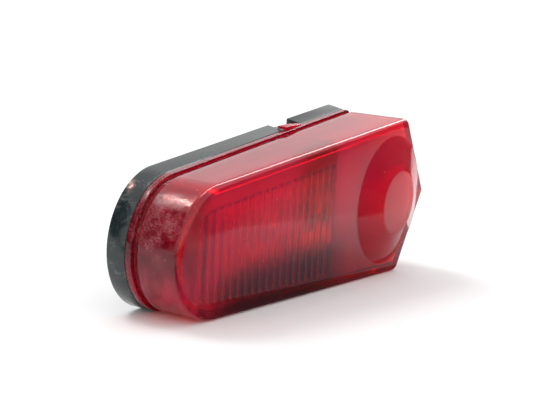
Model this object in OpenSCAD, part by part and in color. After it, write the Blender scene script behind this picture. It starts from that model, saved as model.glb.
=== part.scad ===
// Surface-mounted brake light: black base, one-piece red lens, festoon bulb in two sprung contacts.
// X runs along the lamp, Z is up, the mounting face is y = 0 and the lens looks towards -Y.
// Every depth below is counted from the mounting face towards the lens.

/* [Outline] */
// Radius of the rounded left end of the lens
left_r = 21; // [19:0.5:22]
// Position of the centre of the rounded left end
left_x = -57.5; // [-60:0.5:-57]
// Position of the upper and lower corners along the lamp
shoulder_x = 59.3; // [59:0.1:60]
// Height of the upper corner's centre above the axis
shoulder_z = 26.4; // [26.2:0.1:27.4]
// Radius of the upper and lower corners
shoulder_r = 3.6; // [3.4:0.1:4]
// Position of the centre of the pointed end
tip_x = 77.2; // [77:0.2:79]
// Radius of the pointed end
tip_r = 2.1; // [1.8:0.1:2.6]

/* [Base] */
// Depth of the base from the mounting face to the top of its rim
base_d = 6.2; // [6:0.1:6.6]
// Thickness of the base's floor
floor_t = 2.4; // [2.2:0.1:2.5]
// How far the base stands out past the lens
base_over = 1.2; // [0.8:0.1:1.6]
// How much higher the base's outline sits than the lens, as a drip lip
base_rise = 0.6; // [0.2:0.1:0.8]
// Inset of the tray's inner wall from the lens outline
tray_inset = 1; // [0.8:0.1:1.1]
// Left end of the pry notch in the top rim
notch_x = 12; // [8:0.5:16]
// Width of the pry notch
notch_w = 13.5; // [12:0.5:15]
// Height above the axis of the notch's floor
notch_z = 27; // [26.8:0.1:27.4]

/* [Lens] */
// Depth of the lens face at the middle of the lamp
face_d = 30; // [29:0.5:33]
// Growth of that depth per millimetre towards the pointed end
face_rise = 0.068; // [0.05:0.002:0.07]
// Wall thickness of the lens
lens_t = 3; // [2.8:0.1:3.2]
// Thickness of the flange that sits on the base's rim
flange_t = 2.1; // [1.8:0.1:2.4]
// How far the flange stands out past the wall
flange_over = 0.5; // [0.3:0.1:0.7]
// Width of the groove above the flange
groove_w = 1.9; // [1.5:0.1:2.2]
// Depth of that groove
groove_t = 1.2; // [0.8:0.1:1.3]
// Depth at which the lens spigot ends inside the tray
spigot_d = 3.4; // [3.2:0.1:3.6]
// Radius of the cone where it leaves the face
cone_r = 25; // [23:0.5:25]
// Radius of the flat top of the cone
cone_top_r = 12.2; // [10:0.2:14]
// Height of the cone above the face
cone_h = 4.2; // [3:0.2:5]
// Position of the cone's centre along the lamp
cone_x = 49.3; // [48:0.1:49.5]
// Number of flutes on the inside of the face
flute_n = 19; // [12:1:19]
// Distance from one flute to the next
flute_pitch = 4; // [3.8:0.1:4]
// Radius of a flute
flute_r = 2.3; // [2.1:0.1:2.4]
// How far a flute stands out of the inner face
flute_h = 0.9; // [0.6:0.1:1]
// Middle of the band of flutes
flute_mid_x = -29; // [-30:0.5:-28]
// Margin between the band of flutes and the lens outline
flute_margin = 6; // [6:0.5:8]
// How far the band of flutes sits below the middle
flute_drop = 1.5; // [0:0.25:1.5]

/* [Bulb] */
// Middle of the bulb along the lamp
bulb_x = -6; // [-7:0.5:-5]
// Depth of the bulb's axis
bulb_d = 14; // [14:0.1:15]
// Outer radius of the glass tube
glass_r = 7.5; // [6:0.1:7.5]
// Length of the bulb from tip to tip
bulb_len = 41; // [41:1:41]
// Radius of the end caps
cap_r = 4.25; // [4:0.05:4.25]

/* [Contacts] */
// Depth of the underside of the bulb plate
plate_d = 4.4; // [4.3:0.1:4.6]
// Thickness of the bulb plate
plate_t = 0.7; // [0.6:0.1:0.8]
// Length of the bulb plate
plate_len = 72; // [70:1:74]
// Half the width of the plate's flat middle
plate_flat = 10; // [9:0.5:10]
// Half the width of the plate over its raised wings
plate_wing = 15; // [13:0.5:15]
// Thickness of the contact strip
strip_t = 0.5; // [0.4:0.05:0.6]
// Width of the contact strip
strip_w = 9; // [8:0.5:10]
// Thickness of the fibre pad under the live contact
pad_t = 1; // [0.8:0.1:1.2]
// Distance from the bulb's middle to each contact rivet
rivet_x = 26; // [25.5:0.5:26]
// Radius of the rivet shank
rivet_r = 1.5; // [1.3:0.1:1.6]
// Thickness of a blade terminal
blade_t = 0.8; // [0.8:0.1:1]
// Width of a blade terminal
blade_w = 6.3; // [4.8:1.5:6.3]

/* [Mounting] */
// Distance between the two mounting screws
screw_gap = 104; // [104:1:104]
// Radius of the mounting screw's shank
screw_r = 2; // [1.8:0.1:2]
// Radius of the holes for the mounting screws
screw_hole_r = 2.25; // [2.2:0.05:2.4]
// Length of thread behind the mounting face
screw_out = 12; // [8:1:16]
// Position of the cable grommet along the lamp
grommet_x = 40; // [39:0.5:41]
// Height of the cable grommet
grommet_z = -13; // [-15:0.5:-12]
// Radius of the hole through the grommet
grommet_bore_r = 2.4; // [2:0.1:2.8]

/* [Hidden] */
$fn = 96;
eps = 0.01;
cone_sink = 0.2;
face_tilt = atan(face_rise);
tip_reach = bulb_len / 2;
leaf_x = 19.3;
cap_start = 12.6;
cap_cone = 17.5;
collar_d = 4;
washer_t = 1;
head_h = 2.6;
head_r = 3.9;
plate_top = plate_d + plate_t;
live_foot = plate_top + pad_t;
earth_foot = plate_top;
leaf_gap = 0.15;
leaf_top = bulb_d + 4;
pillar_x = 31;
pillar_z = 7;
gasket_t = 0.9;

// The outline is four round corners joined by their common tangents, so any offset of it
// is the same figure with every radius changed by the same amount.
corners = [
  [left_x, 0, left_r],
  [shoulder_x, -shoulder_z, shoulder_r],
  [tip_x, 0, tip_r],
  [shoulder_x, shoulder_z, shoulder_r]
];

// Angle of the outward normal of the tangent from circle a to circle b
function tangent_angle(a, b) =
  atan2(b[1] - a[1], b[0] - a[0]) - 90
  + asin((a[2] - b[2]) / norm([b[0] - a[0], b[1] - a[1]]));

function on_circle(c, angle, grow) =
  [c[0] + (c[2] + grow) * cos(angle), c[1] + (c[2] + grow) * sin(angle)];

function side_normal(i) = tangent_angle(corners[i], corners[(i + 1) % 4]);

// Distance of side i from the lamp's origin, along its own normal
function side_reach(i, grow) =
  let (a = side_normal(i), c = corners[i])
    c[0] * cos(a) + c[1] * sin(a) + c[2] + grow;

// Where two sides meet: angles a1 and a2, distances h1 and h2
function meet(a1, h1, a2, h2) =
  [(h1 * sin(a2) - h2 * sin(a1)) / sin(a2 - a1), (h2 * cos(a1) - h1 * cos(a2)) / sin(a2 - a1)];

// Points along a rounded corner, or the one sharp corner that is left when
// the inset is larger than the corner's own radius
function corner_points(i, grow) =
  let (
    c = corners[i], j = (i + 3) % 4, from = side_normal(j),
    sweep = (side_normal(i) - from + 720) % 360, steps = i == 0 ? 48 : 8
  )
    c[2] + grow > 0.2
      ? [for (k = [0:steps]) on_circle(c, from + sweep * k / steps, grow)]
      : [meet(from, side_reach(j, grow), side_normal(i), side_reach(i, grow))];

module outline(grow = 0) {
  polygon([for (i = [0:3]) each corner_points(i, grow)]);
}

// Extrudes a drawing of the X-Z plane between two depths
module layer(from, to) {
  translate([0, -from, 0])
    rotate([90, 0, 0])
      linear_extrude(to - from)
        children();
}

// Everything in front of a plane parallel to the lens face, set back by inset
module before_face(inset = 0) {
  translate([0, -face_d, 0])
    rotate([0, 0, -face_tilt])
      translate([-120, inset - 60, -60])
        cube([240, 60, 120]);
}

// Frame with its origin on the face at lamp position x and local z along the face's outward normal
module on_face(x) {
  translate([x, -face_d - face_rise * x, 0])
    rotate([0, 0, -face_tilt])
      rotate([90, 0, 0])
        children();
}

// A round bar along -Y at lamp position x, z
module peg(x, z, r, from, to) {
  translate([x, -from, z])
    rotate([90, 0, 0])
      cylinder(h = to - from, r = r);
}

// Frame of the bulb: local z along the lamp's X axis, origin at the bulb's middle
module on_bulb() {
  translate([bulb_x, -bulb_d, 0])
    rotate([0, 90, 0])
      children();
}

module screw_places() {
  for (side = [-1, 1])
    translate([side * screw_gap / 2, 0, 0])
      children();
}

module pillar_places() {
  for (side = [-1, 1])
    translate([bulb_x + side * pillar_x, 0, side * pillar_z])
      children();
}

module base_solid() {
  difference() {
    translate([0, 0, base_rise])
      layer(0, base_d)
        outline(base_over);
    layer(floor_t, base_d + 1)
      outline(-tray_inset);
  }
  screw_places()
    peg(0, 0, 5.4, floor_t - eps, collar_d);
  pillar_places()
    peg(0, 0, 3.2, floor_t - eps, plate_d);
  peg(grommet_x, grommet_z, 8, floor_t - eps, floor_t + 0.6);
}

module base_housing() {
  color("#2c3435")
    difference() {
      base_solid();
      screw_places()
        peg(0, 0, screw_hole_r, -1, collar_d + 1);
      pillar_places()
        peg(0, 0, 1.25, 1.2, plate_d + 1);
      peg(grommet_x, grommet_z, 4.5, -1, 5);
      peg(grommet_x, grommet_z, 6.4, -1, 1.4);
      layer(-1, gasket_t)
        difference() {
          outline(-3);
          outline(-8);
        }
      translate([notch_x, -base_d - 1, notch_z])
        cube([notch_w, base_d + 2, 6]);
    }
}

module back_gasket() {
  color("#3b3b3d")
    layer(0, gasket_t)
      difference() {
        outline(-3.1);
        outline(-7.9);
      }
}

module cable_grommet() {
  color("#1d1e20")
    translate([grommet_x, 0, grommet_z])
      rotate([90, 0, 0])
        rotate_extrude()
          polygon([
            [grommet_bore_r, 0], [6.2, 0], [6.2, 1.4], [4.5, 1.4], [4.5, 3],
            [6.6, 3], [6.6, 3.8], [5.2, 5], [grommet_bore_r, 5]
          ]);
}

module mounting_screws() {
  color("#b9bcbd")
    screw_places()
      difference() {
        union() {
          peg(0, 0, screw_r, -screw_out, 0);
          peg(0, 0, screw_r - 0.15, -eps, collar_d + washer_t + 1);
          peg(0, 0, head_r, collar_d + washer_t, collar_d + washer_t + 1.7);
          peg(0, 0, head_r - 0.5, collar_d + washer_t + 1.6, collar_d + washer_t + head_h);
        }
        translate([-head_r - 1, -collar_d - washer_t - head_h - 1, -0.5])
          cube([2 * head_r + 2, 2.2, 1]);
      }
}

module screw_seals() {
  color("#232426")
    screw_places()
      difference() {
        peg(0, 0, 4.8, collar_d, collar_d + washer_t);
        peg(0, 0, screw_r + 0.15, collar_d - 1, collar_d + washer_t + 1);
      }
}

module lens_seal() {
  color("#26282a")
    layer(floor_t, spigot_d)
      difference() {
        outline(-tray_inset - 0.1);
        outline(-lens_t - 0.6);
      }
}

module lens_wall() {
  layer(base_d, base_d + flange_t)
    outline(flange_over);
  layer(base_d, base_d + flange_t + groove_w)
    outline(-groove_t);
  difference() {
    layer(base_d + flange_t + groove_w, face_d + 12)
      outline();
    before_face();
  }
  layer(spigot_d, base_d + eps)
    outline(-tray_inset - 0.3);
  on_face(cone_x)
    translate([0, 0, -cone_sink])
      cylinder(h = cone_h + cone_sink, r1 = cone_r, r2 = cone_top_r);
}

module lens_hollow() {
  difference() {
    layer(spigot_d - 1, face_d + 12)
      outline(-lens_t);
    before_face(lens_t);
  }
  on_face(cone_x)
    translate([0, 0, -lens_t - 0.1])
      cylinder(h = cone_h + 0.1, r1 = cone_r - 1, r2 = cone_top_r - 1);
}

module flutes() {
  intersection() {
    for (i = [0:flute_n - 1])
      on_face(flute_mid_x + (i - (flute_n - 1) / 2) * flute_pitch)
        translate([0, 0, flute_r - flute_h - lens_t])
          rotate([90, 0, 0])
            translate([0, 0, -30])
              cylinder(h = 60, r = flute_r);
    translate([0, 0, -flute_drop])
      layer(floor_t, face_d + 12)
        outline(-flute_margin);
    translate([0, -face_d, 0])
      rotate([0, 0, -face_tilt])
        translate([-120, lens_t - 0.8, -60])
          cube([240, 4, 120]);
  }
}

module lens_cover() {
  color("#a8202f", 0.75) {
    difference() {
      lens_wall();
      lens_hollow();
    }
    flutes();
    translate([notch_x + 0.7, -base_d - 1, notch_z + 0.2])
      cube([notch_w - 1.4, 3.6, 1]);
  }
}

module bulb_plate() {
  wing_rise = plate_wing - plate_flat;
  color("#d4d7d8")
    difference() {
      translate([bulb_x - plate_len / 2, 0, 0])
        rotate([90, 0, 90])
          linear_extrude(plate_len)
            polygon([
              [-plate_d, -plate_flat], [-plate_d, plate_flat],
              [-plate_d - wing_rise, plate_wing], [-plate_top - wing_rise, plate_wing - 0.3],
              [-plate_top, plate_flat - 0.3], [-plate_top, 0.3 - plate_flat],
              [-plate_top - wing_rise, 0.3 - plate_wing], [-plate_d - wing_rise, -plate_wing]
            ]);
      pillar_places()
        peg(0, 0, 1.7, plate_d - 1, plate_top + 1);
      peg(bulb_x + rivet_x, 0, 2.5, plate_d - 1, plate_top + 1);
      peg(bulb_x - rivet_x, 0, rivet_r, plate_d - 1, plate_top + 1);
    }
}

module plate_screws() {
  color("#c8c6b8")
    pillar_places()
      difference() {
        union() {
          peg(0, 0, 1.25, 1.6, plate_top + 1);
          peg(0, 0, 2.7, plate_top, plate_top + 1.2);
          peg(0, 0, 2.2, plate_top + 1.1, plate_top + 1.8);
        }
        translate([-0.3, -plate_top - 2.8, -4])
          cube([0.6, 1.8, 8]);
        translate([-4, -plate_top - 2.8, -0.3])
          cube([8, 1.8, 0.6]);
      }
}

module live_insulator() {
  color("#6b3f24")
    difference() {
      translate([bulb_x + 17.5, -live_foot, -6])
        cube([14.5, pad_t, 12]);
      peg(bulb_x + rivet_x, 0, rivet_r, plate_top - 1, live_foot + 1);
      pillar_places()
        peg(0, 0, 3, plate_top - 1, live_foot + 1);
    }
}

module insulator_bush() {
  color("#7a4a2b")
    difference() {
      union() {
        peg(bulb_x + rivet_x, 0, 4, plate_d - 0.9, plate_d);
        peg(bulb_x + rivet_x, 0, 2.5, plate_d - eps, plate_top);
      }
      peg(bulb_x + rivet_x, 0, rivet_r, plate_d - 2, plate_top + 1);
    }
}

// A tubular rivet: head above the stack, clenched tail below it
module rivet(x, low, high) {
  difference() {
    union() {
      peg(x, 0, 2.6, high, high + 0.9);
      peg(x, 0, rivet_r, low - 0.7, high + 0.1);
      peg(x, 0, 2.5, low - 0.7, low);
    }
    peg(x, 0, 0.8, low - 2, high - 0.6);
    peg(x, 0, 0.9, high + 0.5, high + 2);
  }
}

module live_rivet() {
  color("#c9a84f")
    rivet(bulb_x + rivet_x, plate_d - 0.9, live_foot + strip_t + blade_t);
}

module earth_rivet() {
  color("#c9a84f")
    rivet(bulb_x - rivet_x, plate_d, earth_foot + strip_t + blade_t);
}

// Flat foot of a contact: side is -1 for earth and 1 for live
module contact_foot(side, depth) {
  difference() {
    translate([bulb_x + side * (leaf_x + 5.5), -depth - strip_t / 2, 0])
      cube([11, strip_t, strip_w], center = true);
    peg(bulb_x + side * rivet_x, 0, rivet_r, depth - 1, depth + strip_t + 1);
  }
}

// Upright leaf of a contact, with the hole that takes the tip of the bulb cap
module contact_leaf(side, depth) {
  root = depth + strip_t + leaf_gap;
  middle = bulb_x + side * (leaf_x + strip_t / 2);
  difference() {
    union() {
      translate([middle, -(root + strip_t / 2 + leaf_top - 3) / 2, 0])
        cube([strip_t, leaf_top - 3 - root - strip_t / 2, strip_w - 1], center = true);
      translate([middle - strip_t / 2, -leaf_top + 3.5, 0])
        rotate([0, 90, 0])
          intersection() {
            cylinder(h = strip_t, r = 5.2);
            translate([-(strip_w - 1) / 2, -6, -1])
              cube([strip_w - 1, 8, 3]);
          }
      translate([middle, -root - strip_t / 2, (1 - strip_w) / 2])
        cylinder(h = strip_w - 1, r = strip_t / 2);
    }
    translate([middle - 2, -bulb_d, 0])
      rotate([0, 90, 0])
        cylinder(h = 4, r = 2.4);
  }
}

module live_contact_foot() {
  color("#c98f4a")
    contact_foot(1, live_foot);
}

module earth_contact_foot() {
  color("#c98f4a")
    contact_foot(-1, earth_foot);
}

module live_contact_leaf() {
  color("#c98f4a")
    contact_leaf(1, live_foot);
}

module earth_contact_leaf() {
  color("#c98f4a")
    contact_leaf(-1, earth_foot);
}

// Blade terminal: a flat eye on the rivet and a blade that rises outwards
module blade(side, depth) {
  mirror([side < 0 ? 1 : 0, 0, 0])
    translate([side * bulb_x, -depth, 0])
      difference() {
        union() {
          translate([0, 0, -blade_w / 2])
            linear_extrude(blade_w)
              polygon([
                [rivet_x - 3.6, 0], [rivet_x + 3.6, 0], [rivet_x + 12, -5], [rivet_x + 12, -5 - blade_t * 1.15],
                [rivet_x + 3.4, -blade_t], [rivet_x - 3.6, -blade_t]
              ]);
        }
        peg(rivet_x, 0, rivet_r, -1, blade_t + 1);
        translate([rivet_x + 9.6, 2, 0])
          rotate([90, 0, 0])
            cylinder(h = 12, r = 0.9);
      }
}

module terminal_live() {
  color("#cdb45c")
    blade(1, live_foot + strip_t);
}

module terminal_earth() {
  color("#cdb45c")
    blade(-1, earth_foot + strip_t);
}

// Half of the glass envelope's profile: distance from the middle, radius
glass_outer = [
  [0, glass_r], [7.6, glass_r], [9, glass_r - 0.25], [10.3, glass_r - 0.95], [11.3, glass_r - 2],
  [12, 4.4], [12.6, 3.7], [16, 3.6]
];

glass_inner = [
  [0, glass_r - 0.7], [7.4, glass_r - 0.7], [8.6, glass_r - 0.95], [9.7, glass_r - 1.6],
  [10.6, glass_r - 2.6], [11.4, 3.4], [12.4, 2.6], [13.6, 1.2], [14, 0]
];

function flip(points) = [for (i = [len(points) - 1:-1:0]) [-points[i][0], points[i][1]]];

function swap(points) = [for (p = points) [p[1], p[0]]];

module glass_profile(points, closed) {
  polygon(concat(
    [[0, -closed]], swap(flip(points)), swap(points), [[0, closed]]
  ));
}

module bulb_glass() {
  color("#eef2f2", 0.35)
    on_bulb()
      difference() {
        rotate_extrude()
          glass_profile(glass_outer, 16);
        rotate_extrude()
          glass_profile(glass_inner, 14);
      }
}

// End cap of the bulb, a cup with a pointed end, along local +z
module cap() {
  rotate_extrude()
    polygon([
      [3.75, cap_start], [cap_r, cap_start], [cap_r, cap_cone], [1, tip_reach], [0, tip_reach],
      [0, tip_reach - 1], [0.7, tip_reach - 1], [3.75, cap_cone - 0.5]
    ]);
}

module bulb_cap_live() {
  color("#cfd0c6")
    on_bulb()
      cap();
}

module bulb_cap_earth() {
  color("#cfd0c6")
    on_bulb()
      mirror([0, 0, 1])
        cap();
}

// A straight wire between two points of the bulb's frame
module wire(a, b, r) {
  d = b - a;
  len_xy = norm([d[0], d[1]]);
  translate(a)
    rotate([0, atan2(len_xy, d[2]), atan2(d[1], d[0])])
      cylinder(h = norm(d), r = r, $fn = 24);
}

module bulb_filament() {
  color("#8f8f8a")
    on_bulb()
      wire([0, 0, -6], [0, 0, 6], 0.45);
}

module bulb_supports() {
  color("#a9a59a")
    on_bulb()
      for (side = [-1, 1]) {
        wire([0, 0, side * 6], [0, 0, side * 8.2], 0.3);
        wire([0, 0, side * 8], [0, 0, side * 19.4], 0.35);
      }
}

base_housing();
back_gasket();
cable_grommet();
mounting_screws();
screw_seals();
lens_seal();
lens_cover();
bulb_plate();
plate_screws();
live_insulator();
insulator_bush();
live_rivet();
earth_rivet();
live_contact_foot();
earth_contact_foot();
live_contact_leaf();
earth_contact_leaf();
terminal_live();
terminal_earth();
bulb_glass();
bulb_cap_live();
bulb_cap_earth();
bulb_filament();
bulb_supports();
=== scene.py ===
import bmesh
import bpy
import math
import numpy as np
from mathutils import Matrix, Vector


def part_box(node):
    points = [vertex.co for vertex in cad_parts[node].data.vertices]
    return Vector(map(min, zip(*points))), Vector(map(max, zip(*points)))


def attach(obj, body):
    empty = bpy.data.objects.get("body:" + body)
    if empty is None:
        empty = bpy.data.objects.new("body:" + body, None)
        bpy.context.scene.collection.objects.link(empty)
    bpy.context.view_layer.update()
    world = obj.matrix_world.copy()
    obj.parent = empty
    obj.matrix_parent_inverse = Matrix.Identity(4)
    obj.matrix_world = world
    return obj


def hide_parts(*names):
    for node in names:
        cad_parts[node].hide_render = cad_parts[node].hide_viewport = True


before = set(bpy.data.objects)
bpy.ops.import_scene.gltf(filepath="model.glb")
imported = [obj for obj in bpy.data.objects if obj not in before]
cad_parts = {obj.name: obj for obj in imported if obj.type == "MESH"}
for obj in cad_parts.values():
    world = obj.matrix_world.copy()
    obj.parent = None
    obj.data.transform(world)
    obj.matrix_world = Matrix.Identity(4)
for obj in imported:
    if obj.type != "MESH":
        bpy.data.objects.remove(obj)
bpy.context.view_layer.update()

mm = 0.001

# Four round corners (x, z, radius) joined by common tangents, in millimetres
lampOutline = {
    "left": (-57.5, 0.0, 21.0),
    "shoulder": (59.3, 26.4, 3.6),
    "tip": (77.2, 0.0, 2.1),
    "leftSteps": 30,
    "sideSteps": 292,
    "shoulderSteps": 12,
    "edgeSteps": 40,
    "tipSteps": 7,
    "leastRadius": 0.2,
}


def tangentNormal(a, b):
    # angle of the upper outward normal of the tangent that runs from circle a to circle b
    span = math.hypot(b[0] - a[0], b[1] - a[1])
    return math.atan2(b[1] - a[1], b[0] - a[0]) + math.acos((a[2] - b[2]) / span)


def halfLoop(grow, steps=lampOutline):
    # upper half of the offset outline, from the left end to the tip:
    # centre plus (radius plus offset) times the direction, along arcs and straight tangents
    left, shoulder, tip = steps["left"], steps["shoulder"], steps["tip"]
    top, edge = tangentNormal(left, shoulder), tangentNormal(shoulder, tip)

    def onCircle(c, angle):
        # points of one corner's arc at the given angles
        r = c[2] + grow
        return np.stack([c[0] + r * np.cos(angle), c[1] + r * np.sin(angle)], axis=-1)

    reachTop = left[0] * math.cos(top) + left[2] + grow
    reachEdge = tip[0] * math.cos(edge) + tip[2] + grow
    leftArc = onCircle(left, np.linspace(math.pi, top, steps["leftSteps"]))
    shoulderArc = onCircle(shoulder, np.linspace(top, edge, steps["shoulderSteps"]))
    tipArc = onCircle(tip, np.linspace(edge, 0.0, steps["tipSteps"]))
    # a corner inset past its own radius becomes the point where its two tangents meet
    if shoulder[2] + grow < steps["leastRadius"]:
        det = math.sin(edge - top)
        meet = [(reachTop * math.sin(edge) - reachEdge * math.sin(top)) / det,
                (reachEdge * math.cos(top) - reachTop * math.cos(edge)) / det]
        shoulderArc = np.repeat([meet], steps["shoulderSteps"], axis=0)
    if tip[2] + grow < steps["leastRadius"]:
        tipArc = np.repeat([[reachEdge / math.cos(edge), 0.0]], steps["tipSteps"], axis=0)
    t = np.linspace(0, 1, steps["sideSteps"])[1:-1, None]
    side = leftArc[-1] + (shoulderArc[0] - leftArc[-1]) * t
    t = np.linspace(0, 1, steps["edgeSteps"])[1:-1, None]
    slope = shoulderArc[-1] + (tipArc[0] - shoulderArc[-1]) * t
    half = np.concatenate([leftArc, side, shoulderArc, slope, tipArc])
    half[0, 1] = half[-1, 1] = 0.0
    return half


def fullLoop(grow):
    # the upper half followed by its mirror image, without repeating the two ends
    half = halfLoop(grow)
    return np.concatenate([half, half[-2:0:-1] * [1.0, -1.0]])


def putMesh(name, verts, faces, body, merge=2e-6, insideFrom=None):
    # puts points (millimetres) and faces into a new object, merges doubles and turns faces outwards
    mesh = bpy.data.meshes.new(name)
    mesh.from_pydata((np.asarray(verts) * mm).tolist(), [], [list(map(int, f)) for f in faces])
    if insideFrom is not None:
        # marks the points of the inner skin, so that the material can treat it apart
        inside = mesh.attributes.new("inside", "FLOAT", "POINT")
        inside.data.foreach_set("value", (np.arange(len(verts)) >= insideFrom).astype(float))
    mesh.update()
    piece = bpy.data.objects.new(name, mesh)
    bpy.context.scene.collection.objects.link(piece)
    bm = bmesh.new()
    bm.from_mesh(mesh)
    bmesh.ops.remove_doubles(bm, verts=bm.verts, dist=merge)
    bmesh.ops.dissolve_degenerate(bm, edges=bm.edges, dist=merge)
    bmesh.ops.recalc_face_normals(bm, faces=bm.faces)
    bm.to_mesh(mesh)
    bm.free()
    mesh.polygons.foreach_set("use_smooth", np.ones(len(mesh.polygons), dtype=bool))
    mesh.update()
    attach(piece, body)
    return piece


def gridFaces(rows, cols, offset=0, wrapCols=True):
    # quads between neighbouring rows of a grid; the last column joins the first if it wraps
    i = np.arange(rows - 1)[:, None]
    j = np.arange(cols if wrapCols else cols - 1)[None, :]
    k = (j + 1) % cols
    here, above = i * cols, (i + 1) * cols
    quads = np.stack([here + j, here + k, above + k, above + j], axis=-1)
    return (quads.reshape(-1, 4) + offset).tolist()


lens = {
    "faceDepth": 30.0,
    "faceRise": 0.068,
    "wall": 3.0,
    "edgeRadius": 2.2,
    "rimDepth": 6.2,
    "flange": 2.1,
    "flangeOut": 0.5,
    "groove": 1.9,
    "grooveIn": 1.2,
    "spigot": 3.4,
    "spigotIn": 1.3,
    "coneX": 49.3,
    "coneR": 24.4,
    "coneTopR": 12.2,
    "coneH": 4.2,
    "fluteCount": 19,
    "flutePitch": 4.0,
    "fluteR": 2.3,
    "fluteH": 0.9,
    "fluteMid": -29.0,
    "fluteMargin": 6.0,
    "fluteDrop": 1.5,
    "fluteRows": 64,
    "innerCorner": 1.0,
    "edgeSteps": 12,
    "softCorner": 0.3,
    "coneCorner": 0.9,
    "coneFoot": 0.18,
}
faceTilt = math.atan(lens["faceRise"])


def faceAt(x):
    # depth of the front face: a straight line along the lamp
    return lens["faceDepth"] + lens["faceRise"] * x


def lensRing(grow, depth):
    # one ring: an offset outline at a depth, which may vary along the lamp
    loop = fullLoop(grow)
    d = depth(loop[:, 0]) if callable(depth) else np.full(len(loop), float(depth))
    return np.stack([loop[:, 0], -d, loop[:, 1]], axis=-1)


def roundedRings(corners, radius, steps=3):
    # (offset, depth) points of a profile whose corners are cut by small arcs
    out = [corners[0]]
    for before, here, after in zip(corners, corners[1:], corners[2:]):
        before, here, after = (np.array(p, dtype=float) for p in (before, here, after))
        a, b = before - here, after - here
        r = min(radius, 0.45 * np.linalg.norm(a), 0.45 * np.linalg.norm(b))
        p, q = here + a / np.linalg.norm(a) * r, here + b / np.linalg.norm(b) * r
        for t in np.linspace(0, 1, steps + 1):
            out.append(tuple((1 - t) ** 2 * p + 2 * t * (1 - t) * here + t ** 2 * q))
    out.append(corners[-1])
    return out


def outerRings():
    # rings that follow the outline, each at its own offset and depth: up the spigot, flange, groove and
    # wall, and over the edge, a quarter circle: offset -r (1 - cos), depth face - r (1 - sin)
    top = lens["rimDepth"] + lens["flange"]
    neck = top + lens["groove"]
    profile = roundedRings([
        (-lens["wall"], lens["spigot"]), (-lens["spigotIn"], lens["spigot"]),
        (-lens["spigotIn"], lens["rimDepth"]), (lens["flangeOut"], lens["rimDepth"]),
        (lens["flangeOut"], top), (-lens["grooveIn"], top),
        (-lens["grooveIn"], neck), (0.0, neck), (0.0, neck + 3),
    ], lens["softCorner"])
    rings = [lensRing(grow, depth) for grow, depth in profile]
    r = lens["edgeRadius"]
    for t in (0.35, 0.7):
        rings.append(lensRing(0.0, lambda x, t=t: (neck + 3) * (1 - t) + (faceAt(x) - r) * t))
    for phi in np.radians(np.linspace(0, 90, lens["edgeSteps"])):
        inset, drop = r * (1 - math.cos(phi)), r * (1 - math.sin(phi))
        rings.append(lensRing(-inset, lambda x, drop=drop: faceAt(x) - drop))
    return rings


def coneRings(border):
    # rings on the face from the lens edge to the cone's foot and up the cone, at fixed angles round its axis:
    # centre plus radius times the direction in the face, plus height times the face's normal
    ex = np.array([math.cos(faceTilt), -math.sin(faceTilt), 0.0])
    normal = np.array([-math.sin(faceTilt), -math.cos(faceTilt), 0.0])
    centre = np.array([lens["coneX"], -faceAt(lens["coneX"]), 0.0])
    flat = border - centre
    angle = np.arctan2(flat[:, 2], flat @ ex)
    around = np.cos(angle)[:, None] * ex + np.sin(angle)[:, None] * np.array([0.0, 0.0, 1.0])

    def coneRing(radius, height):
        # circle round the cone's axis, lifted off the face
        return centre + radius * around + height * normal

    foot = lens["coneR"] + lens["coneFoot"]
    rim = coneRing(foot, 0.0)
    rings = [border + (rim - border) * t for t in (0.25, 0.6, 0.97, 1.0)]
    profile = roundedRings([
        (foot, 0.0), (lens["coneR"], 0.0), (lens["coneTopR"], lens["coneH"]), (0.6, lens["coneH"]),
    ], lens["coneCorner"], 7)
    rings += [coneRing(radius, height) for radius, height in profile[1:]]
    return rings, centre + lens["coneH"] * normal


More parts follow.
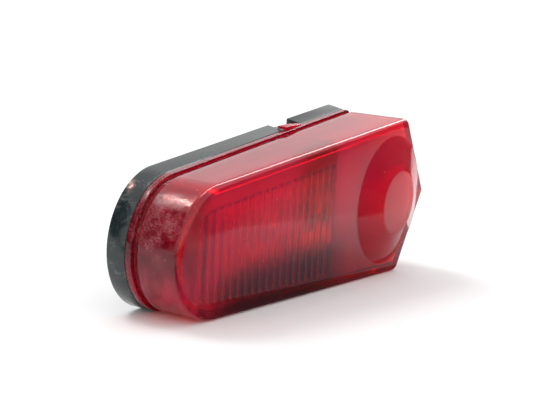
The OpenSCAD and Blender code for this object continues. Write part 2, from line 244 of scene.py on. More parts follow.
def innerSkin():
    # U-shaped sections, one at every station along the lamp: wall, face with hollow cone and flutes, wall
    half = halfLoop(-lens["wall"])
    x, z = half[:, 0], half[:, 1]
    band = halfLoop(-lens["fluteMargin"])
    bandH = np.interp(x, band[:, 0], band[:, 1], left=0.0, right=0.0)
    bandTop = np.clip(bandH - lens["fluteDrop"], 0.55 * z, 0.93 * z)
    bandLow = -np.clip(bandH + lens["fluteDrop"], 0.55 * z, 0.97 * z)
    inBand = (bandTop > bandLow).astype(float)
    inner = faceAt(x) - lens["wall"] / math.cos(faceTilt)
    corner = lens["innerCorner"]
    small = np.minimum(corner, 0.4 * z)
    neck = lens["rimDepth"] + lens["flange"] + lens["groove"]

    def faceRow(height, edge):
        # depth of one row: inner face, plus the hollow of the cone, less the flutes, which are arcs
        # sqrt(R2 - off2) of the distance from the nearest flute's middle
        radius = np.hypot(x - lens["coneX"], height)
        share = (lens["coneR"] - 1.0 - radius) / (lens["coneR"] - lens["coneTopR"])
        rise = np.clip(share, 0, 1) * lens["coneH"]
        step = (x - lens["fluteMid"]) / lens["flutePitch"] + (lens["fluteCount"] - 1) / 2
        near = np.clip(np.round(step), 0, lens["fluteCount"] - 1)
        off = (step - near) * lens["flutePitch"]
        flute = np.sqrt(np.maximum(lens["fluteR"] ** 2 - off ** 2, 0))
        flute = flute - (lens["fluteR"] - lens["fluteH"])
        flute = np.maximum(flute, 0) * edge
        return np.stack([x, -(inner + rise - flute), height], axis=-1)

    def wallRows(sign):
        # rows up one side wall and round into the face
        rows = [np.stack([x, np.full(len(x), -float(d)), sign * z], axis=-1)
                for d in (lens["spigot"], lens["rimDepth"], neck)]
        for t in (0.5, 1.0):
            rows.append(np.stack([x, -(neck * (1 - t) + (inner - corner) * t), sign * z], axis=-1))
        for phi in np.radians([22, 45, 68, 90]):
            height = sign * (z - small * (1 - math.cos(phi)))
            rows.append(np.stack([x, -(inner - corner + math.sin(phi)), height], axis=-1))
        return rows

    zTop = z - small
    rows = wallRows(1.0)
    rows += [faceRow(zTop + (bandTop - zTop) * t, 0.0) for t in (0.4, 0.8)]
    for t in np.linspace(0, 1, lens["fluteRows"]):
        edge = min(1.0, min(t, 1 - t) * 30)
        rows.append(faceRow(bandTop + (bandLow - bandTop) * t, edge * inBand))
    rows += [faceRow(bandLow + (-zTop - bandLow) * t, 0.0) for t in (0.35, 0.75)]
    return np.stack(rows + wallRows(-1.0)[::-1])


def buildLens():
    # outer skin, closed on the cone's flat top by one centre point, then the inner skin that meets it
    # at the spigot
    rings = outerRings()
    more, peak = coneRings(rings[-1])
    outer = np.stack(rings + more)
    rows, cols = outer.shape[:2]
    faces = gridFaces(rows, cols)
    verts = np.concatenate([outer.reshape(-1, 3), peak[None, :]])
    middle, last = len(verts) - 1, (rows - 1) * cols
    faces += [[last + j, last + (j + 1) % cols, middle] for j in range(cols)]
    skin = innerSkin()
    offset = len(verts)
    faces += gridFaces(skin.shape[0], skin.shape[1], offset, wrapCols=False)
    return np.concatenate([verts, skin.reshape(-1, 3)]), faces, offset


def roundedBox(low, high, radius, steps=6):
    # closed block with rounded edges: a sphere's points pushed out to the corners of a smaller box
    low, high = np.array(low, dtype=float), np.array(high, dtype=float)
    u = np.linspace(0, 2 * math.pi, 4 * steps, endpoint=False) + math.pi / (4 * steps)
    v = np.linspace(0, math.pi, 2 * steps)
    uu, vv = np.meshgrid(u, v)
    ball = np.stack([np.sin(vv) * np.cos(uu), np.sin(vv) * np.sin(uu), np.cos(vv)], axis=-1)
    core = (high - low) / 2 - radius
    side = np.where(np.abs(ball) < 1e-9, 1.0, np.sign(ball))
    points = (low + high) / 2 + side * core + ball * radius
    rows, cols = points.shape[:2]
    verts = points.reshape(-1, 3)
    faces = gridFaces(rows, cols)
    faces.append(list(range(cols))[::-1])
    faces.append(list(range((rows - 1) * cols, rows * cols)))
    return verts, faces


verts, faces, insideFrom = buildLens()
lensMoulding = putMesh("lensMoulding", verts, faces, "lens", insideFrom=insideFrom)
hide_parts("lens_cover")
print("lens", len(lensMoulding.data.vertices), "points")

tab = {"low": (12.7, -7.0, 27.15), "high": (24.8, -3.5, 28.2), "radius": 0.35}
verts, faces = roundedBox(tab["low"], tab["high"], tab["radius"])
putMesh("lensTab", verts, faces, "lens")
print("lens tab done")

base = {
    "edge": 0.35,
    "angle": 32,
    "rimOut": 0.3,
    "frontOut": 0.6,
    "frontFrom": -6.1,
    "leastMove": 0.05,
}


def taperFront(mesh):
    # draws the outer front edge in to the lens flange: each such point goes to the nearest point of
    # that outline
    points = np.empty(len(mesh.vertices) * 3)
    mesh.vertices.foreach_get("co", points)
    points = points.reshape(-1, 3) / mm
    ring = fullLoop(base["rimOut"])
    target = fullLoop(base["frontOut"])
    front = np.where(points[:, 1] < base["frontFrom"])[0]
    flat = points[front][:, [0, 2]]
    near = np.argmin(((flat[:, None, :] - ring[None, :, :]) ** 2).sum(axis=2), axis=1)
    out = flat - ring[near]
    outward = (out * ring[near]).sum(axis=1) > 0
    far = np.linalg.norm(out, axis=1) > base["leastMove"]
    pick = outward & far
    chosen = flat[pick]
    goal = np.argmin(((chosen[:, None, :] - target[None, :, :]) ** 2).sum(axis=2), axis=1)
    moved = points[front[pick]]
    moved[:, 0], moved[:, 2] = target[goal, 0], target[goal, 1]
    points[front[pick]] = moved
    mesh.vertices.foreach_set("co", (points * mm).ravel())
    mesh.update()


def softenedCopy(node, name, body, width, angle):
    # a merged copy of a CAD piece with its sharp edges rounded
    source = bpy.data.objects[node]
    mesh = source.data.copy()
    mesh.name = name
    piece = bpy.data.objects.new(name, mesh)
    bpy.context.scene.collection.objects.link(piece)
    bm = bmesh.new()
    bm.from_mesh(mesh)
    bmesh.ops.remove_doubles(bm, verts=bm.verts, dist=1e-6)
    bmesh.ops.dissolve_limit(bm, angle_limit=math.radians(0.6), verts=bm.verts, edges=bm.edges)
    bm.to_mesh(mesh)
    bm.free()
    taperFront(mesh)
    mesh.polygons.foreach_set("use_smooth", np.ones(len(mesh.polygons), dtype=bool))
    bevel = piece.modifiers.new("roundedEdges", "BEVEL")
    bevel.width = width * mm
    bevel.segments = 3
    bevel.limit_method = "ANGLE"
    bevel.angle_limit = math.radians(angle)
    bevel.harden_normals = True
    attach(piece, body)
    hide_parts(node)
    return piece


baseMoulding = softenedCopy("base_housing", "baseMoulding", "base",
                            base["edge"], base["angle"])
print("base", len(baseMoulding.data.polygons), "faces")

coil = {"length": 11.6, "radius": 0.36, "wire": 0.07, "turns": 34, "turnSteps": 14, "wireSides": 7}


def buildCoil():
    # a tube round a helix: helix point plus wire radius times (cos, sin) in its two normals
    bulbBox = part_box("bulb_filament")
    mid = (np.array(bulbBox[0]) + np.array(bulbBox[1])) / 2 / mm
    n, m = coil["turns"] * coil["turnSteps"], coil["wireSides"]
    t = np.linspace(0, 1, n)[:, None]
    a = 2 * math.pi * coil["turns"] * t
    phi = np.linspace(0, 2 * math.pi, m, endpoint=False)[None, :]
    out = coil["radius"] + coil["wire"] * np.cos(phi)
    x = (t - 0.5) * coil["length"] + coil["wire"] * np.sin(phi)
    points = np.stack([mid[0] + x, mid[1] + out * np.cos(a), mid[2] + out * np.sin(a)], axis=-1)
    faces = gridFaces(n, m)
    faces.append(list(range(m))[::-1])
    faces.append(list(range((n - 1) * m, n * m)))
    return points.reshape(-1, 3), faces


verts, faces = buildCoil()
filamentCoil = putMesh("filamentCoil", verts, faces, "bulb")
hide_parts("bulb_filament")
print("filament", coil["turns"], "turns")


class Finish:
    # a Principled material with short calls for the patterns that drive it
    def __init__(self, name, **values):
        self.material = bpy.data.materials.new(name)
        self.material.use_nodes = True
        self.nodes = self.material.node_tree.nodes
        self.links = self.material.node_tree.links
        self.shader = self.nodes["Principled BSDF"]
        self.place = self.nodes.new("ShaderNodeTexCoord")
        for key, value in values.items():
            self.shader.inputs[key].default_value = value

    def put(self, kind, inputs=(), **facts):
        # adds a node, sets its facts and links or sets its inputs
        node = self.nodes.new(kind)
        for key, value in facts.items():
            setattr(node, key, value)
        for key, value in dict(inputs).items():
            if isinstance(value, bpy.types.NodeSocket):
                self.links.new(value, node.inputs[key])
            else:
                node.inputs[key].default_value = value
        return node

    def spread(self, scale=(1, 1, 1), turn=(0, 0, 0)):
        # object coordinates, turned and stretched
        return self.put("ShaderNodeMapping", {
            "Vector": self.place.outputs["Object"], "Scale": scale, "Rotation": turn,
        }).outputs["Vector"]

    def noise(self, scale, detail=3.0, rough=0.55, vector=None):
        # cloudy pattern between 0 and 1
        return self.put("ShaderNodeTexNoise", {
            "Vector": vector or self.place.outputs["Object"], "Scale": scale, "Detail": detail,
            "Roughness": rough,
        }).outputs["Fac"]

    def cells(self, scale):
        # distance from the nearest of many scattered points
        return self.put("ShaderNodeTexVoronoi", {
            "Vector": self.place.outputs["Object"], "Scale": scale,
        }).outputs["Distance"]

    def span(self, value, low, high, a=0.0, b=1.0, smooth=False):
        # a at low, b at high, and a straight or smooth change between
        node = self.put("ShaderNodeMapRange", {
            "Value": value, "From Min": low, "From Max": high, "To Min": a, "To Max": b,
        }, interpolation_type="SMOOTHSTEP" if smooth else "LINEAR")
        return node.outputs["Result"]

    def maths(self, operation, a, b):
        # one sum of two values
        return self.put("ShaderNodeMath", {0: a, 1: b}, operation=operation).outputs[0]

    def axis(self, name):
        # one object coordinate, in metres
        node = self.put("ShaderNodeSeparateXYZ", {"Vector": self.place.outputs["Object"]})
        return node.outputs[name]

    def blend(self, amount, a, b):
        # colour a at 0, colour b at 1
        node = self.nodes.new("ShaderNodeMix")
        node.data_type = "RGBA"
        for key, value in ((0, amount), (6, a), (7, b)):
            if isinstance(value, bpy.types.NodeSocket):
                self.links.new(value, node.inputs[key])
            else:
                node.inputs[key].default_value = value
        return node.outputs[2]

    def drive(self, socket, value):
        # a pattern into one of the shader's sockets
        self.links.new(value, self.shader.inputs[socket])

    def bump(self, height, distance, strength=1.0):
        # a pattern as small heights, in metres
        facts = {"Height": height, "Distance": distance, "Strength": strength}
        node = self.put("ShaderNodeBump", facts)
        self.links.new(node.outputs["Normal"], self.shader.inputs["Normal"])

    def scratches(self, scale, turn, width=0.012):
        # long thin lines: strongly stretched noise, kept only near its middle value
        field = self.noise(scale, 2.0, 0.5, self.spread((1.0, 1.0, 0.045), turn))
        gap = self.maths("ABSOLUTE", self.maths("SUBTRACT", field, 0.5), 0.0)
        return self.span(gap, 0.0, width, 1.0, 0.0)


def redAcrylic():
    # clear red plastic: glossy outside, matt and slightly textured inside, hazed by age, with painted glow
    # and shade in its colour and haze
    f = Finish("redAcrylic", IOR=1.47)
    x, y, z = f.axis("X"), f.axis("Y"), f.axis("Z")
    inside = f.put("ShaderNodeAttribute", attribute_name="inside", attribute_type="GEOMETRY").outputs["Fac"]
    # scuffed patch on the upper wall of the rounded end: distance from a point, broken up by fine noise
    away = f.put("ShaderNodeVectorMath", {0: f.place.outputs["Object"], 1: (-0.0755, -0.0150, 0.0085)},
                 operation="DISTANCE").outputs["Value"]
    patch = f.span(away, 0.004, 0.0150, 1.0, 0.0, True)
    speckle = f.span(f.noise(2600, 8, 0.8, f.spread((1, 0.45, 1), (0.5, 0.2, 0.0))), 0.40, 0.62)
    speckle = f.maths("MULTIPLY", speckle, f.span(f.noise(260, 5, 0.6), 0.36, 0.62))
    # dirt and rubbed specks along the seam of the rounded end
    seam = f.maths("MULTIPLY", f.span(y, -0.0135, -0.0100), f.span(x, -0.066, -0.050, 1.0, 0.08, True))
    seam = f.maths("MULTIPLY", seam, f.span(z, 0.004, 0.012, 0.1, 1.0))
    specks = f.maths("MULTIPLY", seam, f.span(f.noise(1300, 7, 0.8), 0.53, 0.66))
    # a few specks of dust anywhere: small round cells where a coarse noise is high
    dust = f.maths("MULTIPLY", f.span(f.cells(430), 0.11, 0.05), f.span(f.noise(120, 3, 0.5), 0.60, 0.64))
    dust = f.maths("MULTIPLY", dust, f.maths("SUBTRACT", 1.0, inside))
    frost = f.maths("MAXIMUM", f.maths("MAXIMUM", f.maths("MULTIPLY", patch, speckle), specks), dust)
    # rubbed dull over the rounded end
    film = f.span(f.noise(55, 4, 0.6), 0.3, 0.75, 0.0, 0.04)
    rubbed = f.span(f.noise(420, 6, 0.7), 0.42, 0.66, 0.01, 0.20)
    rubbed = f.maths("MULTIPLY", f.span(x, -0.072, -0.056, 1.0, 0.0, True), rubbed)
    rubbed = f.maths("MULTIPLY", rubbed, f.span(z, 0.000, 0.012, 0.15, 1.0, True))
    film = f.maths("ADD", film, rubbed)
    marks = f.scratches(420, (0.3, 0.9, 0.4))
    rough = f.maths("ADD", f.maths("MULTIPLY", frost, 0.4), f.maths("MULTIPLY", marks, 0.08))
    rough = f.maths("ADD", f.maths("ADD", rough, film), 0.03)
    # the inner skin is matt, most of all behind the cone
    matt = f.span(x, 0.010, 0.030, 0.24, 0.58, True)
    matt = f.maths("MAXIMUM", matt, f.span(z, -0.011, -0.001, 0.46, 0.20, True))
    f.drive("Roughness", f.maths("ADD", rough, f.maths("MULTIPLY", inside, matt)))
    tint = f.blend(f.noise(30, 3, 0.5), (0.93, 0.018, 0.085, 1.0), (0.97, 0.03, 0.11, 1.0))
    # the cone's inner skin is coloured darker inside its rim, by distance from its axis
    flat = f.put("ShaderNodeCombineXYZ", {"X": x, "Z": z}).outputs["Vector"]
    reach = f.put("ShaderNodeVectorMath", {0: flat, 1: (lens["coneX"] * mm, 0.0, 0.0)},
                  operation="DISTANCE").outputs["Value"]
    coneDarker = f.maths("MULTIPLY", inside, f.span(reach, 0.0220, 0.0242, 1.0, 0.0, True))
    tint = f.blend(coneDarker, tint, (0.50, 0.02, 0.07, 1.0))
    # painted shade: the upper flank of the cone, between its flat top and its rim, is coloured nearly black,
    # standing in for the dark reflection on it
    shoulder = f.maths("MULTIPLY", f.span(z, 0.004, 0.014, 0.0, 0.8, True), f.span(reach, 0.012, 0.014))
    tint = f.blend(f.maths("MULTIPLY", coneDarker, shoulder), tint, (0.09, 0.02, 0.07, 1.0))
    # painted shade: the inside of the fluted part and the lower wall are coloured darker than the plain part,
    # where less light reaches
    ribShade = f.span(x, -0.040, -0.004, 0.0, 0.75, True)
    ribShade = f.maths("MULTIPLY", ribShade, f.span(x, 0.010, 0.014, 1.0, 0.0))
    tint = f.blend(f.maths("MULTIPLY", inside, ribShade), tint, (0.30, 0.015, 0.06, 1.0))
    lowShade = f.maths("MULTIPLY", f.span(z, 0.000, -0.014, 0.0, 1.0, True), f.span(x, -0.060, -0.045))
    lowShade = f.maths("MULTIPLY", lowShade, f.span(x, 0.010, 0.022, 1.0, 0.35))
    tint = f.blend(lowShade, tint, (0.36, 0.015, 0.06, 1.0))
    f.drive("Base Color", f.blend(f.maths("MULTIPLY", frost, 0.5), tint, (0.90, 0.62, 0.62, 1.0)))
    # more haze towards the top, a painted glow where the sun reaches: the diffuse red there stands in for
    # light let in from above
    height = f.span(z, -0.020, 0.014, 0.0, 1.0, True)
    front = f.span(y, -0.026, -0.021, 1.0, 0.0)
    hazeAndGlow = f.maths("ADD", f.maths("MULTIPLY", height, f.span(front, 0.0, 1.0, 0.15, 0.22)), 0.05)
    hazeAndGlow = f.maths("MULTIPLY", hazeAndGlow, f.span(x, 0.020, 0.036, 1.0, 0.72))
    hazeAndGlow = f.maths("MULTIPLY", hazeAndGlow, f.span(x, -0.074, -0.060, 0.3, 1.0, True))
    # painted glow: the lower wall of the rounded end gets more haze in upright streaks, its diffuse red
    # standing in for streaks of reflected light
    glow = f.span(z, 0.002, -0.010, 0.0, 1.0, True)
    glow = f.maths("MULTIPLY", glow, f.span(x, -0.070, -0.052, 1.0, 0.0, True))
    streaks = f.span(f.noise(330, 4, 0.6, f.spread((1, 1, 0.12))), 0.35, 0.65, 0.06, 0.26)
    hazeAndGlow = f.maths("ADD", hazeAndGlow, f.maths("MULTIPLY", glow, streaks))
    # the face over the right-hand flutes gets less haze, so it is darker there
    clearer = f.maths("MULTIPLY", f.span(x, -0.024, -0.008, 0.0, 1.0, True),
                      f.span(x, 0.0055, 0.0095, 1.0, 0.0, True))
    clearer = f.maths("MULTIPLY", clearer, f.maths("MULTIPLY", front, 0.75))
    hazeAndGlow = f.maths("MULTIPLY", hazeAndGlow, f.maths("SUBTRACT", 1.0, clearer))
    hazeAndGlow = f.maths("ADD", hazeAndGlow, f.maths("MULTIPLY", frost, 0.3))
    hazeAndGlow = f.maths("MULTIPLY", hazeAndGlow, f.maths("SUBTRACT", 1.0, inside))
    f.drive("Transmission Weight", f.maths("SUBTRACT", 1.0, hazeAndGlow))
    height = f.maths("ADD", f.maths("MULTIPLY", frost, 0.5), f.noise(35, 2, 0.5))
    f.bump(f.maths("SUBTRACT", height, f.maths("MULTIPLY", marks, 0.3)), 0.00003, 0.5)
    absorb = f.put("ShaderNodeVolumeAbsorption", {"Color": (0.978, 0.03, 0.48, 1.0), "Density": 700.0})
    f.links.new(absorb.outputs["Volume"], f.nodes["Material Output"].inputs["Volume"])
    return f.material


def blackMoulding():
    # black plastic with a cloudy sheen, scuffed at the rounded end, where the lighter scuffs also paint a
    # reflection of the floor, and chipped here and there
    f = Finish("blackMoulding", IOR=1.55)
    cloud = f.noise(45, 5, 0.6)
    fine = f.noise(700, 4, 0.65)
    worn = f.span(f.noise(230, 8, 0.8), 0.52, 0.72)
    leftEnd = f.span(f.axis("X"), -0.080, -0.045, 1.0, 0.15, True)
    chips = f.span(f.cells(260), 0.10, 0.03)
    chipHere = f.maths("MULTIPLY", chips, f.span(f.noise(70, 2, 0.5), 0.56, 0.6))
    scuffAndReflection = f.maths("MULTIPLY", worn, leftEnd)
    body = f.blend(cloud, (0.006, 0.011, 0.012, 1), (0.018, 0.029, 0.029, 1))
    # lighter where scuffed: partly real wear, partly a painted reflection of the floor on the rounded end
    dull = f.blend(f.maths("MULTIPLY", scuffAndReflection, 0.6), body, (0.17, 0.18, 0.175, 1))
    f.drive("Base Color", f.blend(f.maths("MULTIPLY", chipHere, 0.7), dull, (0.42, 0.43, 0.41, 1)))
    marks = f.scratches(380, (1.2, 0.2, 0.5))
    rough = f.maths("ADD", f.span(cloud, 0.3, 0.7, 0.09, 0.22), f.maths("MULTIPLY", scuffAndReflection, 0.35))
    f.drive("Roughness", f.maths("ADD", rough, f.maths("MULTIPLY", marks, 0.15)))
    hollows = f.maths("ADD", chipHere, f.maths("MULTIPLY", scuffAndReflection, 0.5))
    f.bump(f.maths("SUBTRACT", f.maths("MULTIPLY", fine, 0.25), hollows), 0.00006, 0.6)
    return f.material


def rubberLike(name, dark, light, grain, rough):
    # dull and finely pored
    f = Finish(name, IOR=1.5)
    cloud = f.noise(grain * 0.08, 4, 0.6)
    f.drive("Base Color", f.blend(cloud, dark, light))
    f.drive("Roughness", f.span(f.noise(grain, 3, 0.6), 0.3, 0.7, rough - 0.08, rough + 0.08))
    pores = f.span(f.cells(grain), 0.0, 0.5)
    f.bump(f.maths("ADD", pores, f.noise(grain * 2.3, 2, 0.5)), 0.00008, 0.6)
    return f.material


def metalLike(name, dark, light, rough, brushed=(1, 1, 1), tarnish=0.3):
    # drawn or rolled metal: fine lines along one direction and cloudy tarnish
    f = Finish(name, Metallic=1.0)
    lines = f.noise(2600, 3, 0.6, f.spread(brushed))
    stain = f.span(f.noise(240, 5, 0.65), 0.45, 0.75)
    shade = f.blend(f.maths("MULTIPLY", lines, 0.5), light, tuple(0.85 * c for c in light[:3]) + (1,))
    f.drive("Base Color", f.blend(f.maths("MULTIPLY", stain, tarnish), shade, dark))
    grain = f.span(lines, 0.3, 0.7, rough - 0.06, rough + 0.08)
    f.drive("Roughness", f.maths("ADD", grain, f.maths("MULTIPLY", stain, 0.2)))
    f.bump(lines, 0.00002, 0.5)
    return f.material


def fibreBoard():
    # reddish brown pressed fibre with short strands
    f = Finish("vulcanisedFibre", IOR=1.5)
    strands = f.noise(1500, 5, 0.7, f.spread((0.3, 1, 1)))
    f.drive("Base Color", f.blend(strands, (0.12, 0.05, 0.028, 1), (0.3, 0.14, 0.075, 1)))
    f.drive("Roughness", f.span(strands, 0.3, 0.7, 0.5, 0.7))
    f.bump(strands, 0.00005, 0.6)
    return f.material


def clearGlass():
    # thin drawn glass, slightly smeared
    f = Finish("bulbGlass", IOR=1.5)
    f.shader.inputs["Transmission Weight"].default_value = 1.0
    f.shader.inputs["Base Color"].default_value = (0.97, 0.99, 0.985, 1.0)
    smear = f.noise(90, 4, 0.6)
    f.drive("Roughness", f.span(smear, 0.35, 0.7, 0.01, 0.07))
    f.bump(f.noise(60, 2, 0.5), 0.00003, 0.4)
    return f.material


def dress(material, *names):
    # gives each named piece one material
    for name in names:
        piece = bpy.data.objects[name]
        piece.data.materials.clear()
        piece.data.materials.append(material)


dress(redAcrylic(), "lensMoulding", "lensTab")
dress(blackMoulding(), "baseMoulding", "base_housing")
dress(rubberLike("foamPad", (0.03, 0.03, 0.032, 1), (0.06, 0.06, 0.062, 1), 1400, 0.9), "back_gasket")
dress(rubberLike("blackRubber", (0.012, 0.012, 0.013, 1), (0.03, 0.03, 0.031, 1), 2400, 0.62),
      "cable_grommet", "screw_seals", "lens_seal")
dress(metalLike("zincPlate", (0.33, 0.32, 0.29, 1), (0.62, 0.63, 0.64, 1), 0.34),
      "mounting_screws", "plate_screws")
dress(metalLike("brightTinplate", (0.55, 0.54, 0.52, 1), (0.93, 0.94, 0.95, 1), 0.24, (0.05, 1, 1), 0.15),
      "bulb_plate")
dress(metalLike("springBronze", (0.3, 0.17, 0.08, 1), (0.8, 0.52, 0.29, 1), 0.3, (1, 1, 0.05), 0.4),
      "live_contact_foot", "earth_contact_foot", "live_contact_leaf", "earth_contact_leaf")
dress(metalLike("plainBrass", (0.33, 0.24, 0.1, 1), (0.83, 0.66, 0.33, 1), 0.28, (1, 1, 1), 0.4),
      "live_rivet", "earth_rivet", "terminal_live", "terminal_earth")
dress(metalLike("nickelCap", (0.36, 0.34, 0.29, 1), (0.72, 0.71, 0.66, 1), 0.26, (0.05, 1, 1), 0.35),
      "bulb_cap_live", "bulb_cap_earth")
dress(metalLike("tungstenWire", (0.16, 0.16, 0.16, 1), (0.42, 0.41, 0.4, 1), 0.4),
      "filamentCoil", "bulb_supports", "bulb_filament")
dress(fibreBoard(), "live_insulator", "insulator_bush")
dress(clearGlass(), "bulb_glass")
print("materials done")

# The lamp rests on its long lower edge: the rim of the base and the lower edge of the lens touch the floor
stage = {
    "along": (0.9970, 0.0, -0.0767),
    "across": (0.0, -0.99968, 0.0252),
    "floorTone": (0.95, 0.95, 0.95, 1.0),
    "zenith": 1.0,
    "highFrom": (0.0, 0.56, 0.82),
    "highStrength": 0.9,
    "highAngle": 22,
}
alongDir = Vector(stage["along"]).normalized()
acrossDir = Vector(stage["across"]).normalized()
upDir = -alongDir.cross(-acrossDir).normalized()
upDir = upDir if upDir.z > 0 else -upDir


def lowestReach(piece):
    # smallest product of a piece's points with the upward direction
    points = np.empty(len(piece.data.vertices) * 3)
    piece.data.vertices.foreach_get("co", points)
    return (points.reshape(-1, 3) @ np.array(upDir)).min()


lowest = min(lowestReach(lensMoulding), lowestReach(baseMoulding))
floorTurn = Matrix((alongDir, upDir.cross(alongDir), upDir)).transposed()


def flatSheet(name, size, centre, lift, material, hidden=True):
    # a flat sheet: two parameters run along and across the floor, the lift is above it
    n = 12
    u, v = np.meshgrid(np.linspace(-0.5, 0.5, n), np.linspace(-0.5, 0.5, n))
    flat = np.stack([u * size[0] + centre[0], v * size[1] + centre[1], np.full_like(u, lift)], axis=-1)
    world = flat.reshape(-1, 3) @ np.array(floorTurn.transposed()) + np.array(upDir) * lowest
    mesh = bpy.data.meshes.new(name)
    mesh.from_pydata(world.tolist(), [], gridFaces(n, n, 0, False))
    mesh.materials.append(material)
    sheet = bpy.data.objects.new(name, mesh)
    bpy.context.scene.collection.objects.link(sheet)
    if hidden:
        sheet.visible_camera = sheet.visible_diffuse = sheet.visible_shadow = False
        sheet.visible_transmission = False
    return sheet


def plainTone(name, tone, rough=0.7, far=None, reach=(0.0, 0.2), lean=0.0):
    # one tone, or a change from tone to far between two values of x + lean * y (metres)
    f = Finish(name, Roughness=rough)
    f.shader.inputs["Base Color"].default_value = tone
    if far:
        place = f.maths("ADD", f.axis("X"), f.maths("MULTIPLY", f.axis("Y"), lean))
        f.drive("Base Color", f.blend(f.span(place, reach[0], reach[1]), tone, far))
    f.shader.inputs["Specular IOR Level"].default_value = 0.1
    return f.material


flatSheet("floor", (60.0, 60.0), (0.0, 0.0), -0.00002, plainTone("palePaper", stage["floorTone"]), False)
# grey sheets in front, seen only in reflections: a light one close by, which paints a dimmer floor near the
# lamp into the reflections as shade, and a darker one beyond it
flatSheet("nearSheet", (1.0, 0.072), (0.3, -0.038 - 0.036), 0.0004,
          plainTone("nearGrey", (0.42, 0.42, 0.50, 1), far=(0.95, 0.95, 0.95, 1), reach=(0.02, 0.20)))
flatSheet("farSheet", (4.4, 3.0), (1.2, -1.50 - 0.110), 0.0006,
          plainTone("farGrey", (0.10, 0.095, 0.10, 1), far=(0.95, 0.93, 0.93, 1),
                    reach=(-0.21, -0.05), lean=2.2))
# a narrow dark one close under the lower edge of the lens, a painted contact shadow seen only in reflections
flatSheet("contactSheet", (0.30, 0.014), (0.0, -0.024 - 0.007), 0.0003,
          plainTone("contactShadowGrey", (0.16, 0.13, 0.14, 1)))
# a dark sheet behind the rounded end, from a hand's width away, seen only in reflections: a painted dark
# reflection in the wall of the rounded end
flatSheet("leftSheet", (1.4, 1.3), (-0.17 - 0.70, -0.60), 0.0005,
          plainTone("leftGrey", (0.05, 0.05, 0.052, 1), far=(0.90, 0.90, 0.90, 1), reach=(-0.21, -0.165)))


def softLight(name, where, size, power):
    # an area lamp that faces the middle of the part
    data = bpy.data.lights.new(name, "AREA")
    data.shape = "RECTANGLE"
    data.size, data.size_y = size
    data.energy = power
    lamp = bpy.data.objects.new(name, data)
    lamp.location = where
    lamp.rotation_euler = (-Vector(where)).to_track_quat("-Z", "Y").to_euler()
    bpy.context.scene.collection.objects.link(lamp)
    return lamp


# a long strip from overhead down to the right catches the upper edge
strip = softLight("strip", (0.40, -0.02, 0.56), (0.15, 0.95), 3.2)
strip.visible_diffuse = False
# a broad light at the front right that shows only where it passes through the lens or the bulb's glass
inner = softLight("inner", (0.78, -0.46, 0.04), (0.80, 0.50), 5.5)
inner.visible_camera = inner.visible_glossy = inner.visible_diffuse = False
# a broad sun high behind the part draws the soft shadow in front of it
high = bpy.data.lights.new("high", "SUN")
high.energy = stage["highStrength"]
high.angle = math.radians(stage["highAngle"])
highLamp = bpy.data.objects.new("high", high)
highLamp.location = (-0.05, 0.25, 0.5)
highLamp.rotation_euler = (-Vector(stage["highFrom"])).to_track_quat("-Z", "Y").to_euler()
highLamp.visible_glossy = False
bpy.context.scene.collection.objects.link(highLamp)
# a small warm lamp high behind gives the glint on the wall of the rounded end
glint = softLight("glint", (-0.097, 0.287, 0.526), (0.11, 0.035), 0.45)
glint.data.color = (1.0, 0.55, 0.50)
glint.visible_camera = glint.visible_diffuse = glint.visible_transmission = False

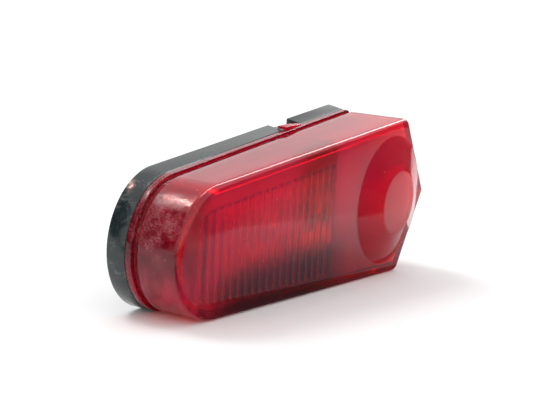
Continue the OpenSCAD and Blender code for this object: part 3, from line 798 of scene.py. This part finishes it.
# dark screens, seen only in reflections: one up at the left, one low at the front right
screens = {
    "leftScreen": {"place": (-0.42, 0.36, 0.283), "size": (0.66, 0.60), "tone": (0.012, 0.012, 0.014, 1)},
    "frontScreen": {"place": (0.60, -0.50, 0.13), "size": (0.95, 0.42), "tone": (0.05, 0.045, 0.05, 1)},
}
for name, screen in screens.items():
    # a sheet across its own two directions, turned to face the part
    u, v = np.meshgrid(np.linspace(-0.5, 0.5, 8), np.linspace(-0.5, 0.5, 8))
    facing = np.array((-Vector(screen["place"])).to_track_quat("-Z", "Y").to_matrix())
    points = np.stack([u * screen["size"][0], v * screen["size"][1], 0 * u], axis=-1).reshape(-1, 3)
    mesh = bpy.data.meshes.new(name)
    mesh.from_pydata((points @ facing.T + np.array(screen["place"])).tolist(), [], gridFaces(8, 8, 0, False))
    mesh.materials.append(plainTone(name, screen["tone"]))
    sheet = bpy.data.objects.new(name, mesh)
    bpy.context.scene.collection.objects.link(sheet)
    sheet.visible_camera = sheet.visible_diffuse = sheet.visible_shadow = False
    sheet.visible_transmission = False
print("floor, lights and screens done")

# sky: a touch brighter near the horizon than overhead
world = bpy.data.worlds.new("softSky")
bpy.context.scene.world = world
world.use_nodes = True
skyNodes, skyLinks = world.node_tree.nodes, world.node_tree.links
skyPlace = skyNodes.new("ShaderNodeTexCoord")
skySplit = skyNodes.new("ShaderNodeSeparateXYZ")
skyRange = skyNodes.new("ShaderNodeMapRange")
skyRange.interpolation_type = "SMOOTHSTEP"
skyLinks.new(skyPlace.outputs["Generated"], skySplit.inputs[0])
skyLinks.new(skySplit.outputs["Z"], skyRange.inputs["Value"])
for key, value in {"From Min": 0.30, "From Max": 0.75, "To Min": 1.04, "To Max": stage["zenith"]}.items():
    skyRange.inputs[key].default_value = value
skyNodes["Background"].inputs["Color"].default_value = (1.0, 1.0, 1.0, 1.0)
skyLinks.new(skyRange.outputs["Result"], skyNodes["Background"].inputs["Strength"])

# place in millimetres, angles in degrees: the heading from +X towards +Y, how far down it looks, and its roll
camera = {
    "place": (-322.3, -186.4, 83.5),
    "heading": 28.5,
    "down": 12.52,
    "roll": 3.57,
    "lens": 70.75,
}
data = bpy.data.cameras.new("view")
data.sensor_width = 36.0
data.lens = camera["lens"]
data.clip_start, data.clip_end = 0.01, 50.0
viewer = bpy.data.objects.new("view", data)
heading, down, roll = (math.radians(camera[k]) for k in ("heading", "down", "roll"))
forward = Vector((math.cos(heading) * math.cos(down), math.sin(heading) * math.cos(down), -math.sin(down)))
# a level camera's right-hand direction, then turned about the line of sight
level = Vector((math.sin(heading), -math.cos(heading), 0.0))
right = level * math.cos(roll) + level.cross(forward) * math.sin(roll)
turn = Matrix((right, right.cross(forward), -forward)).transposed().to_4x4()
viewer.matrix_world = Matrix.Translation(Vector(camera["place"]) * mm) @ turn
bpy.context.scene.collection.objects.link(viewer)
bpy.context.scene.camera = viewer
bpy.context.scene.view_settings.view_transform = "Standard"
